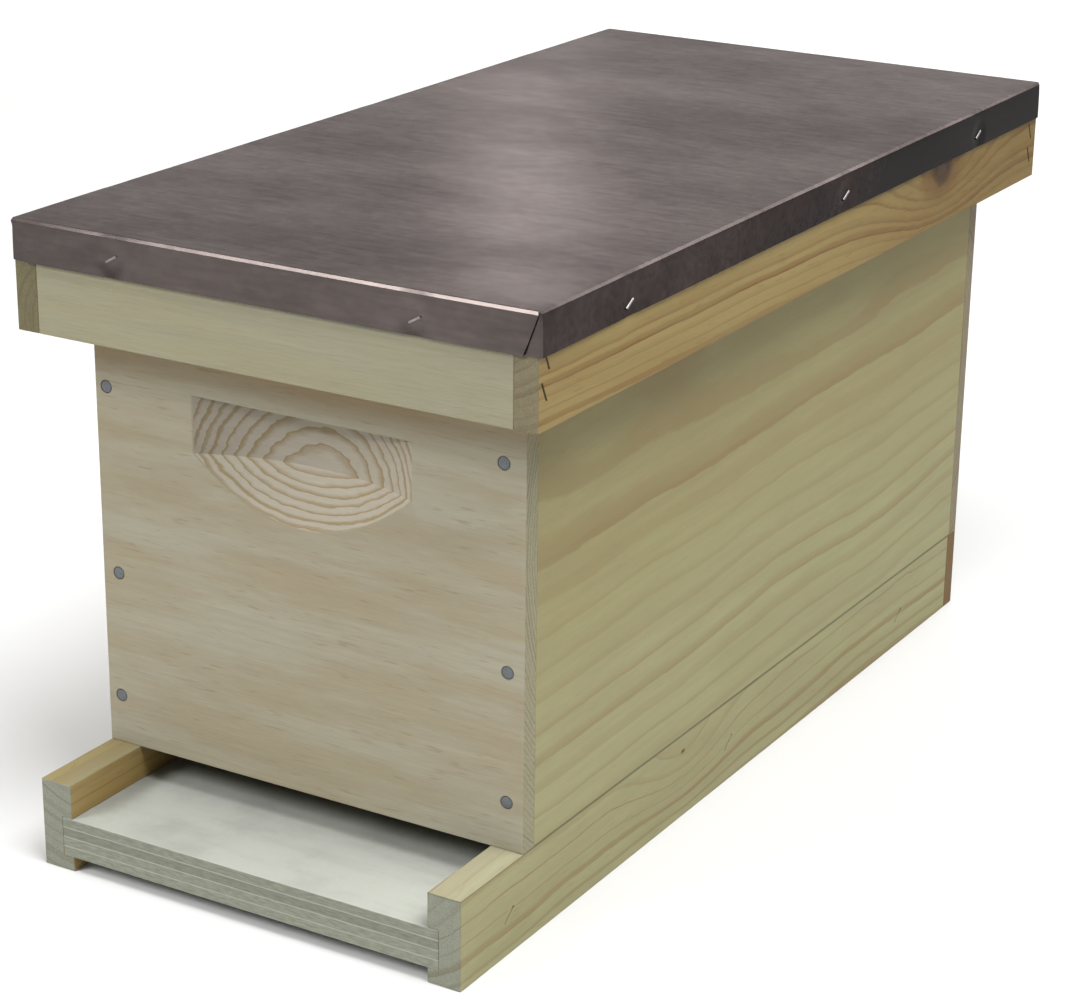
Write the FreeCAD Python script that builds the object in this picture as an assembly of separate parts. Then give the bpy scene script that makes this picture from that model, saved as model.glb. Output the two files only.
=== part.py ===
"""Five-frame nucleus beehive with a telescoping metal-covered lid.

Frame: millimetres, +Z up, +Y from the entrance to the rear, origin on the
ground under the middle of the whole hive. Every node is one STEP file.
"""
import FreeCAD, Part
import math
import os

Vector = FreeCAD.Vector

# ---- driving dimensions, millimetres --------------------------------------------------------
BODY_WIDTH = 241.3            # 9 1/2 in outside
BODY_LENGTH = 504.8           # 19 7/8 in, the standard hive length
BODY_DEPTH = 244.5            # 9 5/8 in, the standard deep box
BOARD = 19.05                 # 3/4 in body boards
CORNER_LIP = 9.5              # end board left outside each corner rabbet
FRAME_REST_DEPTH = 15.9       # frame-rest rabbet, from the top edge down
FRAME_REST_WIDTH = 9.5

RAIL_HEIGHT = 46.2            # bottom board side rails
RAIL_THICK = 18.0
REAR_RAIL_THICK = 11.1
LANDING = 54.0                # rails and floor in front of the body
GROOVE_DEPTH = 6.0
GROOVE_BOTTOM = 7.7
FLOOR_THICK = 20.4

LID_WIDTH = 285.0             # wood of the lid, outside
LID_LENGTH = 560.0
LID_SIDE_RAIL = 12.5
LID_END_RAIL = 19.05
LID_RAIL_HEIGHT = 42.0
LID_BOARD = 12.0
SHEET = 0.5                   # galvanised cover
SKIRT = 20.3

HOLD_CENTRE_X = -1.5          # hand hold, heights from the body's bottom edge
HOLD_HALF_WIDTH = 62.1
HOLD_TOP = 190.7
HOLD_CREASE = 162.0
HOLD_BOTTOM = 135.3
HOLD_DEPTH = 15.0

COVER_PANEL = 6.35            # inner cover
COVER_CLEAT = 7.95
COVER_CLEAT_WIDTH = 19.0
COVER_HOLE_LENGTH = 89.0
COVER_HOLE_WIDTH = 32.0

FRAME_COUNT = 5
FRAME_PITCH = 38.1
FRAME_DEPTH = 231.8           # 9 1/8 in
FRAME_DROP = 6.4              # top bars below the body's top edge
TOP_BAR_LENGTH = 482.6        # 19 in
TOP_BAR_WIDTH = 27.0
TOP_BAR_THICK = 19.05
LUG_WIDTH = 22.2
LUG_THICK = 9.5
LUG_LENGTH = 15.9
END_BAR_THICK = 9.5
END_BAR_WIDE = 34.9
END_BAR_NARROW = 28.6
END_BAR_SHOULDER = 95.0       # wide part, from the top down
END_BAR_TAPER = 20.0
BOTTOM_BAR_WIDTH = 19.05
BOTTOM_BAR_THICK = 9.5
FOUNDATION_THICK = 2.4
FOUNDATION_SLOT = 3.2
TOP_SLOT_DEPTH = 6.0
BOTTOM_SLOT_DEPTH = 3.0

EASED_EDGE = 0.5              # lightly sanded board edges
FINE_EDGE = 0.3
HOLE_GAP = 0.06               # round a driven nail or staple

# nails: head diameter, head thickness, shank diameter, length under the head
BOX_NAIL = (6.4, 1.2, 2.9, 50.0)
COVER_NAIL = (4.8, 1.0, 2.0, 30.0)
FRAME_NAIL = (3.0, 0.7, 1.2, 29.0)

# staples: crown, wire across, wire thickness, leg
RAIL_STAPLE = (10.0, 1.3, 1.2, 30.0)
SKIRT_STAPLE = (9.0, 1.3, 0.9, 11.0)
CLEAT_STAPLE = (6.0, 1.0, 0.8, 11.0)

STAPLE_SINK = 1.0             # rail crowns lie this far under the wood
SKIRT_PROUD = 0.9             # skirt crowns stand this far out

# fastener places; a slant is the direction in which a crown runs
RAIL_SPOTS = ((42.0, 2.5), (262.0, 4.0), (478.0, 1.0))      # from the rail's front, over the floor's middle
RAIL_SLANT = Vector(0, 0.78, 0.63)
REAR_RAIL_HEIGHTS = (14.0, 34.0)
FRONT_NAIL_SPOTS = ((-1, 6.5, 186.2), (-1, 9.3, 91.1), (-1, 7.7, 25.5),
                    (1, 12.0, 189.7), (1, 9.3, 89.6), (1, 9.3, 24.5))    # side, inset, height
REAR_NAIL_SPOTS = ((-1, 9.5, 25.0), (-1, 9.5, 90.0), (-1, 9.5, 188.0),
                   (1, 9.5, 25.0), (1, 9.5, 90.0), (1, 9.5, 188.0))
CLEAT_SHARES = (0.04, 0.35, 0.65, 0.96)
SKIRT_SIDE_SPOTS = ((48.7, -1.5), (271.8, 0.9), (442.8, -0.3))           # behind the body's front, lift
SKIRT_END_SPOTS = ((-84.3, 2.1), (80.7, 0.2))                            # from the middle, lift
SKIRT_STAPLE_DROP = 1.0       # under the joint of the lid's board and rails
SKIRT_STAPLE_RISE = 0.5
CORNER_FRONT_SPOTS = ((6.5, 10.5), (4.5, 24.2))                          # from the lid's front, depth
CORNER_REAR_INSET = 9.0
CORNER_REAR_DEPTHS = (14.5, 28.2)
CORNER_SLANT = Vector(0, 0.42, -0.91)
BOARD_NAIL_SHARES = (0.06, 0.28, 0.5, 0.72, 0.94)

# ---- places worked out from the driving dimensions --------------------------------------------
LID_OVERHANG = (LID_LENGTH - BODY_LENGTH) / 2
OVERALL_LENGTH = LANDING + BODY_LENGTH + LID_OVERHANG + SHEET + SKIRT_PROUD
RAIL_FRONT = -OVERALL_LENGTH / 2
BODY_FRONT = RAIL_FRONT + LANDING
BODY_REAR = BODY_FRONT + BODY_LENGTH
BODY_MIDDLE = (BODY_FRONT + BODY_REAR) / 2
BODY_SIDE = BODY_WIDTH / 2
BODY_BOTTOM = RAIL_HEIGHT
BODY_TOP = BODY_BOTTOM + BODY_DEPTH
INNER_SIDE = BODY_SIDE - BOARD
FLOOR_TOP = GROOVE_BOTTOM + FLOOR_THICK
REAR_RAIL_FRONT = BODY_REAR - REAR_RAIL_THICK
CLEAT_BOTTOM = BODY_TOP + COVER_PANEL
LID_BOARD_BOTTOM = CLEAT_BOTTOM + COVER_CLEAT
LID_BOARD_TOP = LID_BOARD_BOTTOM + LID_BOARD
LID_RAIL_BOTTOM = LID_BOARD_BOTTOM - LID_RAIL_HEIGHT
LID_FRONT = BODY_FRONT - LID_OVERHANG
LID_REAR = BODY_REAR + LID_OVERHANG
LID_SIDE = LID_WIDTH / 2
FRAME_TOP = BODY_TOP - FRAME_DROP
FRAME_BOTTOM = FRAME_TOP - FRAME_DEPTH
END_BAR_OUT = TOP_BAR_LENGTH / 2 - LUG_LENGTH
END_BAR_IN = END_BAR_OUT - END_BAR_THICK

EPS = 0.01
OVERCUT = 5.0
PROBE = 0.05                  # how far out of an edge to look for wood
NAIL_TIP = 0.1                # radius left at a nail's point
FOUNDATION_LOOSE = 0.4


# ---- small makers -----------------------------------------------------------------------------
def block(x0, x1, y0, y1, z0, z1):
    """A box between two corners."""
    return Part.makeBox(x1 - x0, y1 - y0, z1 - z0, Vector(x0, y0, z0))


def inside(shape, point):
    """True where a point lies in the solid."""
    return shape.isInside(point, EPS / 10, False)


def is_convex(shape, edge):
    """True for a straight outside corner, false for the inside corner of a rabbet."""
    if edge.Curve.TypeId != "Part::GeomLine":
        return False
    middle = edge.valueAt((edge.FirstParameter + edge.LastParameter) / 2)
    faces = shape.ancestorsOfType(edge, Part.Face)
    normals = []
    for face in faces[:2]:
        u, v = face.Surface.parameter(middle)
        normals.append(face.normalAt(u, v))
    if len(normals) < 2:
        return False
    probe = middle + (normals[0] - normals[1]) * PROBE
    return not inside(shape, probe)


def eased(shape, radius=EASED_EDGE):
    """A board with its outside edges lightly rounded."""
    edges = [edge for edge in shape.Edges if is_convex(shape, edge)]
    return shape.makeFillet(radius, edges)


def facing(origin, normal, along):
    """Placement whose local +Z is the normal and local +X runs along."""
    side = normal.cross(along)
    turn = FreeCAD.Rotation(along, side, normal, "ZXY")
    return FreeCAD.Placement(origin, turn)


def nail(size, head, normal, grow=0.0):
    """A flush nail: head at the surface, shank and point driven against the normal."""
    head_across, head_thick, shank_across, length = size
    point = 2 * shank_across
    shank_radius = shank_across / 2 + grow
    end = -head_thick - length
    head_disc = Part.makeCylinder(head_across / 2 + grow, head_thick + 10 * grow, Vector(0, 0, -head_thick))
    shank = Part.makeCylinder(shank_radius, length - point, Vector(0, 0, end + point))
    tip = Part.makeCone(NAIL_TIP + grow, shank_radius, point, Vector(0, 0, end))
    solid = head_disc.fuse([shank, tip]).removeSplitter()
    helper = Vector(1, 0, 0) if abs(normal.x) < 0.5 else Vector(0, 1, 0)
    solid.Placement = facing(head, normal, helper)
    return solid


def staple(size, middle, normal, along, proud, grow=0.0):
    """A staple: its crown stands proud of the surface by the given height, or lies under it."""
    crown, across, thick, leg = size
    half = crown / 2 + grow
    wide = across / 2 + grow
    top = proud if grow == 0.0 else max(proud, 0.0) + 1.0
    low = proud - thick - grow
    bar = block(-half, half, -wide, wide, low, top)
    legs = []
    for side in (-1, 1):
        inner = side * (crown / 2 - thick - grow)
        outer = side * half
        legs.append(block(min(inner, outer), max(inner, outer), -wide, wide, proud - leg - grow, low + EPS))
    solid = bar.fuse(legs).removeSplitter()
    solid.Placement = facing(middle, normal, along)
    return solid


def driven(maker, size, places):
    """All the fasteners of one kind, and the holes that they leave in the wood."""
    fasteners = [maker(size, *place) for place in places]
    holes = [maker(size, *place, grow=HOLE_GAP) for place in places]
    return Part.makeCompound(fasteners), holes


def hand_hold(face_y, inward):
    """The scoop a cutter head leaves: a straight-topped hollow with a coned lower part."""
    radius = (HOLD_HALF_WIDTH ** 2 + HOLD_DEPTH ** 2) / (2 * HOLD_DEPTH)
    reach = radius - HOLD_DEPTH
    outline = Part.makePolygon([
        Vector(0, 0, BODY_BOTTOM + HOLD_BOTTOM),
        Vector(reach, 0, BODY_BOTTOM + HOLD_BOTTOM),
        Vector(radius, 0, BODY_BOTTOM + HOLD_CREASE),
        Vector(radius, 0, BODY_BOTTOM + HOLD_TOP),
        Vector(0, 0, BODY_BOTTOM + HOLD_TOP),
        Vector(0, 0, BODY_BOTTOM + HOLD_BOTTOM)])
    cutter = Part.Face(outline).revolve(Vector(0, 0, 0), Vector(0, 0, 1), 360)
    cutter.translate(Vector(HOLD_CENTRE_X, face_y - inward * reach, 0))
    return cutter


# ---- bottom board -----------------------------------------------------------------------------
def bottom_board():
    """Two grooved side rails, a rear rail across their ends and a plywood floor in the grooves."""
    rail = block(BODY_SIDE - RAIL_THICK, BODY_SIDE, RAIL_FRONT, REAR_RAIL_FRONT, 0, RAIL_HEIGHT)
    groove_side = BODY_SIDE - RAIL_THICK + GROOVE_DEPTH
    groove = block(0, groove_side, RAIL_FRONT - OVERCUT, BODY_REAR, GROOVE_BOTTOM, FLOOR_TOP)
    right_rail = eased(rail.cut(groove))
    left_rail = right_rail.mirror(Vector(0, 0, 0), Vector(1, 0, 0))
    rear_rail = eased(block(-BODY_SIDE, BODY_SIDE, REAR_RAIL_FRONT, BODY_REAR, 0, RAIL_HEIGHT))
    floor = block(-groove_side, groove_side, RAIL_FRONT, REAR_RAIL_FRONT, GROOVE_BOTTOM, FLOOR_TOP)
    floor = eased(floor, FINE_EDGE)

    middle_height = (GROOVE_BOTTOM + FLOOR_TOP) / 2
    places = []
    for side in (-1, 1):
        for from_front, rise in RAIL_SPOTS:
            middle = Vector(side * BODY_SIDE, RAIL_FRONT + from_front, middle_height + rise)
            places.append((middle, Vector(side, 0, 0), RAIL_SLANT, -STAPLE_SINK))
        for height in REAR_RAIL_HEIGHTS:
            middle = Vector(side * (BODY_SIDE - RAIL_THICK / 2), BODY_REAR, height)
            places.append((middle, Vector(0, 1, 0), Vector(0.6 * side, 0, 0.8), -STAPLE_SINK))
    staples, holes = driven(staple, RAIL_STAPLE, places)
    return {
        "bottom_left_rail": left_rail.cut(holes),
        "bottom_right_rail": right_rail.cut(holes),
        "bottom_rear_rail": rear_rail.cut(holes),
        "bottom_floor": floor.cut(holes),
        "bottom_staples": staples,
    }


# ---- hive body --------------------------------------------------------------------------------
def end_board(face_y, inward):
    """Front or rear board: corner rabbets, a frame rest inside the top edge and a hand hold."""
    back_y = face_y + inward * BOARD
    lip_y = face_y + inward * CORNER_LIP
    low_y, high_y = sorted((face_y, back_y))
    board = eased(block(-BODY_SIDE, BODY_SIDE, low_y, high_y, BODY_BOTTOM, BODY_TOP))
    low_y, high_y = sorted((lip_y, back_y + inward * OVERCUT))
    rabbets = []
    for side in (-1, 1):
        x0, x1 = sorted((side * INNER_SIDE, side * (BODY_SIDE + OVERCUT)))
        rabbets.append(block(x0, x1, low_y, high_y, BODY_BOTTOM - OVERCUT, BODY_TOP + OVERCUT))
    rest_y = back_y - inward * FRAME_REST_WIDTH
    low_y, high_y = sorted((rest_y, back_y + inward * OVERCUT))
    rest = block(-BODY_SIDE, BODY_SIDE, low_y, high_y, BODY_TOP - FRAME_REST_DEPTH, BODY_TOP + OVERCUT)
    return board.cut(rabbets + [rest, hand_hold(face_y, inward)])


def nail_places(face_y, outward, spots):
    """Nails through the corner lips into the side boards: side, inset from the edge, height."""
    places = []
    for side, inset, height in spots:
        head = Vector(side * (BODY_SIDE - inset), face_y, BODY_BOTTOM + height)
        places.append((head, Vector(0, outward, 0)))
    return places


def hive_body():
    """A deep box of four boards, nailed through the corner rabbets of its end boards."""
    side_y0 = BODY_FRONT + CORNER_LIP
    side_y1 = BODY_REAR - CORNER_LIP
    right_side = eased(block(INNER_SIDE, BODY_SIDE, side_y0, side_y1, BODY_BOTTOM, BODY_TOP))
    left_side = right_side.mirror(Vector(0, 0, 0), Vector(1, 0, 0))
    front_nails, front_holes = driven(nail, BOX_NAIL, nail_places(BODY_FRONT, -1, FRONT_NAIL_SPOTS))
    rear_nails, rear_holes = driven(nail, BOX_NAIL, nail_places(BODY_REAR, 1, REAR_NAIL_SPOTS))
    return {
        "body_front_board": end_board(BODY_FRONT, 1).cut(front_holes),
        "body_rear_board": end_board(BODY_REAR, -1).cut(rear_holes),
        "body_left_side": left_side.cut(front_holes + rear_holes),
        "body_right_side": right_side.cut(front_holes + rear_holes),
        "body_front_nails": front_nails,
        "body_rear_nails": rear_nails,
    }


# ---- hanging frames ---------------------------------------------------------------------------
def end_bar(x, inner_y, outer_y):
    """Wide-shouldered end bar, notched for the top bar and the bottom bar."""
    wide = END_BAR_WIDE / 2
    narrow = END_BAR_NARROW / 2
    shoulder = FRAME_TOP - END_BAR_SHOULDER
    waist = shoulder - END_BAR_TAPER
    side = [(wide, FRAME_TOP), (wide, shoulder), (narrow, waist), (narrow, FRAME_BOTTOM)]
    corners = side + [(-across, height) for across, height in reversed(side)]
    low_y = min(inner_y, outer_y)
    points = [Vector(x + across, low_y, height) for across, height in corners]
    outline = Part.makePolygon(points + points[:1])
    bar = eased(Part.Face(outline).extrude(Vector(0, END_BAR_THICK, 0)), FINE_EDGE)
    cut_y0 = low_y - OVERCUT
    cut_y1 = low_y + END_BAR_THICK + OVERCUT
    top_notch = block(x - LUG_WIDTH / 2, x + LUG_WIDTH / 2, cut_y0, cut_y1,
                      FRAME_TOP - TOP_BAR_THICK, FRAME_TOP + OVERCUT)
    bottom_notch = block(x - BOTTOM_BAR_WIDTH / 2, x + BOTTOM_BAR_WIDTH / 2, cut_y0, cut_y1,
                         FRAME_BOTTOM - OVERCUT, FRAME_BOTTOM + BOTTOM_BAR_THICK)
    return bar.cut([top_notch, bottom_notch])


def top_bar(x):
    """Grooved top bar with thinner lugs that hang in the frame rests."""
    middle = BODY_MIDDLE
    low = FRAME_TOP - TOP_BAR_THICK
    wide = eased(block(x - TOP_BAR_WIDTH / 2, x + TOP_BAR_WIDTH / 2, middle - END_BAR_IN,
                       middle + END_BAR_IN, low, FRAME_TOP), FINE_EDGE)
    neck = block(x - LUG_WIDTH / 2, x + LUG_WIDTH / 2, middle - END_BAR_OUT, middle + END_BAR_OUT,
                 low, FRAME_TOP)
    half = TOP_BAR_LENGTH / 2
    lugs = block(x - LUG_WIDTH / 2, x + LUG_WIDTH / 2, middle - half, middle + half,
                 FRAME_TOP - LUG_THICK, FRAME_TOP)
    bar = wide.fuse([neck, lugs]).removeSplitter()
    slot = block(x - FOUNDATION_SLOT / 2, x + FOUNDATION_SLOT / 2, middle - END_BAR_IN, middle + END_BAR_IN,
                 low - OVERCUT, low + TOP_SLOT_DEPTH)
    return bar.cut(slot)


def bottom_bar(x):
    """Bottom bar in the end bars' notches, grooved for the foundation's lower edge."""
    middle = BODY_MIDDLE
    high = FRAME_BOTTOM + BOTTOM_BAR_THICK
    bar = eased(block(x - BOTTOM_BAR_WIDTH / 2, x + BOTTOM_BAR_WIDTH / 2, middle - END_BAR_OUT,
                      middle + END_BAR_OUT, FRAME_BOTTOM, high), FINE_EDGE)
    slot = block(x - FOUNDATION_SLOT / 2, x + FOUNDATION_SLOT / 2, middle - END_BAR_IN, middle + END_BAR_IN,
                 high - BOTTOM_SLOT_DEPTH, high + OVERCUT)
    return bar.cut(slot)


def foundation(x):
    """Comb foundation sheet, loose in the two grooves."""
    loose = FOUNDATION_LOOSE
    low = FRAME_BOTTOM + BOTTOM_BAR_THICK - BOTTOM_SLOT_DEPTH + loose
    high = FRAME_TOP - TOP_BAR_THICK + TOP_SLOT_DEPTH - loose
    return block(x - FOUNDATION_THICK / 2, x + FOUNDATION_THICK / 2, BODY_MIDDLE - END_BAR_IN + loose,
                 BODY_MIDDLE + END_BAR_IN - loose, low, high)


def frame(number):
    """One hanging frame: two bars, two end bars, foundation and nails."""
    x = (number - (FRAME_COUNT + 1) / 2) * FRAME_PITCH
    places = []
    nail_y = (END_BAR_IN + END_BAR_OUT) / 2
    for end in (-1, 1):
        y = BODY_MIDDLE + end * nail_y
        for side in (-1, 1):
            places.append((Vector(x + side * LUG_WIDTH / 4, y, FRAME_TOP), Vector(0, 0, 1)))
        places.append((Vector(x, y, FRAME_BOTTOM), Vector(0, 0, -1)))
    nails, holes = driven(nail, FRAME_NAIL, places)
    name = f"frame_{number}_"
    return {
        name + "top_bar": top_bar(x).cut(holes),
        name + "front_end_bar": end_bar(x, BODY_MIDDLE - END_BAR_IN, BODY_MIDDLE - END_BAR_OUT).cut(holes),
        name + "rear_end_bar": end_bar(x, BODY_MIDDLE + END_BAR_IN, BODY_MIDDLE + END_BAR_OUT).cut(holes),
        name + "bottom_bar": bottom_bar(x).cut(holes),
        name + "foundation": foundation(x),
        name + "nails": nails,
    }


# ---- inner cover ------------------------------------------------------------------------------
def inner_cover():
    """Thin plywood panel with an oval hole, edged with cleats on its upper side."""
    panel = eased(block(-BODY_SIDE, BODY_SIDE, BODY_FRONT, BODY_REAR, BODY_TOP, CLEAT_BOTTOM), FINE_EDGE)
    end_radius = COVER_HOLE_WIDTH / 2
    straight = COVER_HOLE_LENGTH / 2 - end_radius
    hole = block(-end_radius, end_radius, BODY_MIDDLE - straight, BODY_MIDDLE + straight,
                 BODY_TOP - OVERCUT, CLEAT_BOTTOM + OVERCUT)
    ends = []
    for end in (-1, 1):
        centre = Vector(0, BODY_MIDDLE + end * straight, BODY_TOP - OVERCUT)
        ends.append(Part.makeCylinder(end_radius, COVER_PANEL + 2 * OVERCUT, centre))
    hole = hole.fuse(ends).removeSplitter()

    side_in = BODY_SIDE - COVER_CLEAT_WIDTH
    cleats = {
        "cover_left_cleat": block(-BODY_SIDE, -side_in, BODY_FRONT, BODY_REAR,
                                  CLEAT_BOTTOM, LID_BOARD_BOTTOM),
        "cover_right_cleat": block(side_in, BODY_SIDE, BODY_FRONT, BODY_REAR,
                                   CLEAT_BOTTOM, LID_BOARD_BOTTOM),
        "cover_front_cleat": block(-side_in, side_in, BODY_FRONT, BODY_FRONT + COVER_CLEAT_WIDTH,
                                   CLEAT_BOTTOM, LID_BOARD_BOTTOM),
        "cover_rear_cleat": block(-side_in, side_in, BODY_REAR - COVER_CLEAT_WIDTH, BODY_REAR,
                                  CLEAT_BOTTOM, LID_BOARD_BOTTOM),
    }
    up = Vector(0, 0, 1)
    places = []
    inset = COVER_CLEAT_WIDTH / 2
    for side in (-1, 1):
        x = side * (BODY_SIDE - inset)
        for share in CLEAT_SHARES:
            y = BODY_FRONT + share * BODY_LENGTH
            places.append((Vector(x, y, LID_BOARD_BOTTOM), up, Vector(0.5, 0.87, 0), 0.0))
    for y in (BODY_FRONT + inset, BODY_REAR - inset):
        for x in (-BODY_SIDE / 2, BODY_SIDE / 2):
            places.append((Vector(x, y, LID_BOARD_BOTTOM), up, Vector(0.87, 0.5, 0), 0.0))
    staples, holes = driven(staple, CLEAT_STAPLE, places)
    nodes = {"cover_panel": panel.cut([hole] + holes)}
    for name, shape in cleats.items():
        nodes[name] = eased(shape, FINE_EDGE).cut(holes)
    nodes["cover_staples"] = staples
    return nodes


# ---- telescoping lid --------------------------------------------------------------------------
def skirt_staple_places():
    """Crowns set on a slant round the skirt, over the joint of board and rails."""
    rise = SKIRT_STAPLE_RISE
    run = math.sqrt(1 - rise ** 2)
    height = LID_BOARD_BOTTOM - SKIRT_STAPLE_DROP
    places = []
    for side in (-1, 1):
        for from_body, lift in SKIRT_SIDE_SPOTS:
            middle = Vector(side * (LID_SIDE + SHEET), BODY_FRONT + from_body, height + lift)
            places.append((middle, Vector(side, 0, 0), Vector(0, run, rise), SKIRT_PROUD))
    for y, outward in ((LID_FRONT - SHEET, -1), (LID_REAR + SHEET, 1)):
        for x, lift in SKIRT_END_SPOTS:
            middle = Vector(x, y, height + lift)
            places.append((middle, Vector(0, outward, 0), Vector(run, 0, rise), SKIRT_PROUD))
    return places


def corner_staple_places():
    """Sunk crowns through the side rails into the end rails' ends."""
    spots = [(LID_FRONT + inset, depth) for inset, depth in CORNER_FRONT_SPOTS]
    spots += [(LID_REAR - CORNER_REAR_INSET, depth) for depth in CORNER_REAR_DEPTHS]
    places = []
    for side in (-1, 1):
        for y, depth in spots:
            middle = Vector(side * LID_SIDE, y, LID_BOARD_BOTTOM - depth)
            places.append((middle, Vector(side, 0, 0), CORNER_SLANT, -STAPLE_SINK))
    return places


def lid():
    """Four rails and a plywood board under a folded sheet-metal cover."""
    inner_side = LID_SIDE - LID_SIDE_RAIL
    right_rail = eased(block(inner_side, LID_SIDE, LID_FRONT, LID_REAR, LID_RAIL_BOTTOM, LID_BOARD_BOTTOM))
    left_rail = right_rail.mirror(Vector(0, 0, 0), Vector(1, 0, 0))
    front_rail = eased(block(-inner_side, inner_side, LID_FRONT, LID_FRONT + LID_END_RAIL,
                             LID_RAIL_BOTTOM, LID_BOARD_BOTTOM))
    rear_rail = eased(block(-inner_side, inner_side, LID_REAR - LID_END_RAIL, LID_REAR,
                            LID_RAIL_BOTTOM, LID_BOARD_BOTTOM))
    board = eased(block(-LID_SIDE, LID_SIDE, LID_FRONT, LID_REAR, LID_BOARD_BOTTOM, LID_BOARD_TOP))

    outer = block(-LID_SIDE - SHEET, LID_SIDE + SHEET, LID_FRONT - SHEET, LID_REAR + SHEET,
                  LID_BOARD_TOP + SHEET - SKIRT, LID_BOARD_TOP + SHEET)
    hollow = block(-LID_SIDE, LID_SIDE, LID_FRONT, LID_REAR, LID_RAIL_BOTTOM, LID_BOARD_TOP)
    sheet = outer.cut(hollow)

    corner_staples, corner_holes = driven(staple, RAIL_STAPLE, corner_staple_places())
    skirt_staples, skirt_holes = driven(staple, SKIRT_STAPLE, skirt_staple_places())
    up = Vector(0, 0, 1)
    places = []
    for side in (-1, 1):
        x = side * (LID_SIDE - LID_SIDE_RAIL / 2)
        for share in BOARD_NAIL_SHARES:
            places.append((Vector(x, LID_FRONT + share * LID_LENGTH, LID_BOARD_TOP), up))
    for y in (LID_FRONT + LID_END_RAIL / 2, LID_REAR - LID_END_RAIL / 2):
        for x in (-LID_SIDE / 2, 0, LID_SIDE / 2):
            places.append((Vector(x, y, LID_BOARD_TOP), up))
    board_nails, nail_holes = driven(nail, COVER_NAIL, places)
    holes = corner_holes + skirt_holes + nail_holes
    return {
        "lid_front_rail": front_rail.cut(holes),
        "lid_rear_rail": rear_rail.cut(holes),
        "lid_left_rail": left_rail.cut(holes),
        "lid_right_rail": right_rail.cut(holes),
        "lid_top_board": board.cut(holes),
        "lid_board_nails": board_nails,
        "lid_corner_staples": corner_staples,
        "metal_cover": sheet.cut(skirt_holes),
        "metal_cover_staples": skirt_staples,
    }


# ---- the whole hive ---------------------------------------------------------------------------
def main():
    os.makedirs("parts", exist_ok=True)
    nodes = {}
    nodes.update(bottom_board())
    nodes.update(hive_body())
    for number in range(1, FRAME_COUNT + 1):
        nodes.update(frame(number))
    nodes.update(inner_cover())
    nodes.update(lid())
    for name, shape in nodes.items():
        shape.exportStep(f"parts/{name}.step")
    whole = Part.makeCompound(list(nodes.values())).BoundBox
    print(len(nodes), "nodes", round(whole.XMin, 2), round(whole.XMax, 2), round(whole.YMin, 2),
          round(whole.YMax, 2), round(whole.ZMin, 2), round(whole.ZMax, 2))


main()
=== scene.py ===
import bmesh
import bpy
import math
import random
from mathutils import Matrix, Vector


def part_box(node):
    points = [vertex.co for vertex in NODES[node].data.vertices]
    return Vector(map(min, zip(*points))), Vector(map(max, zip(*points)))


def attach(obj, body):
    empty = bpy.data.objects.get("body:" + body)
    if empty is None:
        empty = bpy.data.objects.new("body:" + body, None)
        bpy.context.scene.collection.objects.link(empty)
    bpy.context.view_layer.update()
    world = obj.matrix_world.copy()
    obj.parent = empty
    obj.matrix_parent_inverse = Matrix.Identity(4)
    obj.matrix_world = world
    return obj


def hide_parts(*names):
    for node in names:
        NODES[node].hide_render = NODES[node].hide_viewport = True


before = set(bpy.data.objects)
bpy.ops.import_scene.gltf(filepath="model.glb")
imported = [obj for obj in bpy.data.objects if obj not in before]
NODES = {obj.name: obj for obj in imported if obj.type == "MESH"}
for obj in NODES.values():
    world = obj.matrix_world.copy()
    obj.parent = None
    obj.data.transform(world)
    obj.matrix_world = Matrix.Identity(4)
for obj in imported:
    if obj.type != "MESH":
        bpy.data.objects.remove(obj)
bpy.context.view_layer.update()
MM = 0.001

# ---- places read from the frame ---------------------------------------------------------------
FACE_LOW, FACE_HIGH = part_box("body_front_board")
REAR_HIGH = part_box("body_rear_board")[1]
RAIL_LOW, RAIL_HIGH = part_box("lid_right_rail")
COVER_LOW, COVER_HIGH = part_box("metal_cover")
BODY_SIDE = FACE_HIGH.x
BODY_BOTTOM = FACE_LOW.z

# ---- fasteners, as the part places them, in millimetres ---------------------------------------
SHEET = 0.5
FRONT_NAILS = ((-1, 6.5, 186.2), (-1, 9.3, 91.1), (-1, 7.7, 25.5),
               (1, 12.0, 189.7), (1, 9.3, 89.6), (1, 9.3, 24.5))
REAR_NAILS = [(side, 9.5, height) for side in (-1, 1) for height in (25.0, 90.0, 188.0)]
SIDE_STAPLES = ((48.7, -1.5), (271.8, 0.9), (442.8, -0.3))
END_STAPLES = ((-84.3, 2.1), (80.7, 0.2))
STAPLE_HEIGHT = RAIL_HIGH.z / MM - 1.0
STAPLE_RISE = 0.5

# ---- wood and metal tones, linear -------------------------------------------------------------
FACE_GREY = (0.300, 0.282, 0.210)
FACE_TAN = (0.276, 0.230, 0.148)
FACE_LINE = (0.232, 0.180, 0.104)
KHAKI = (0.296, 0.284, 0.146)
KHAKI_SHADE = (0.264, 0.234, 0.120)
KHAKI_BAND = (0.222, 0.160, 0.070)
LID_FACE = (0.248, 0.236, 0.162)
LID_LINE = (0.228, 0.200, 0.120)
AMBER = (0.252, 0.188, 0.068)
AMBER_SHADE = (0.220, 0.148, 0.046)
AMBER_LINE = (0.145, 0.074, 0.016)
RAIL_TAN = (0.225, 0.196, 0.108)
CREAM = (0.352, 0.312, 0.200)
CREAM_LINE = (0.264, 0.192, 0.088)
SCOOP_PALE = (0.344, 0.308, 0.244)
SCOOP_RING = (0.228, 0.168, 0.076)
GREY_END = (0.210, 0.218, 0.168)
PINK_END = (0.216, 0.180, 0.114)
FACE_END = (0.252, 0.236, 0.148)
BROWN_END = (0.180, 0.156, 0.090)
END_LINE = (0.132, 0.104, 0.058)
KNOT_HEART = (0.048, 0.024, 0.008)
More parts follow.
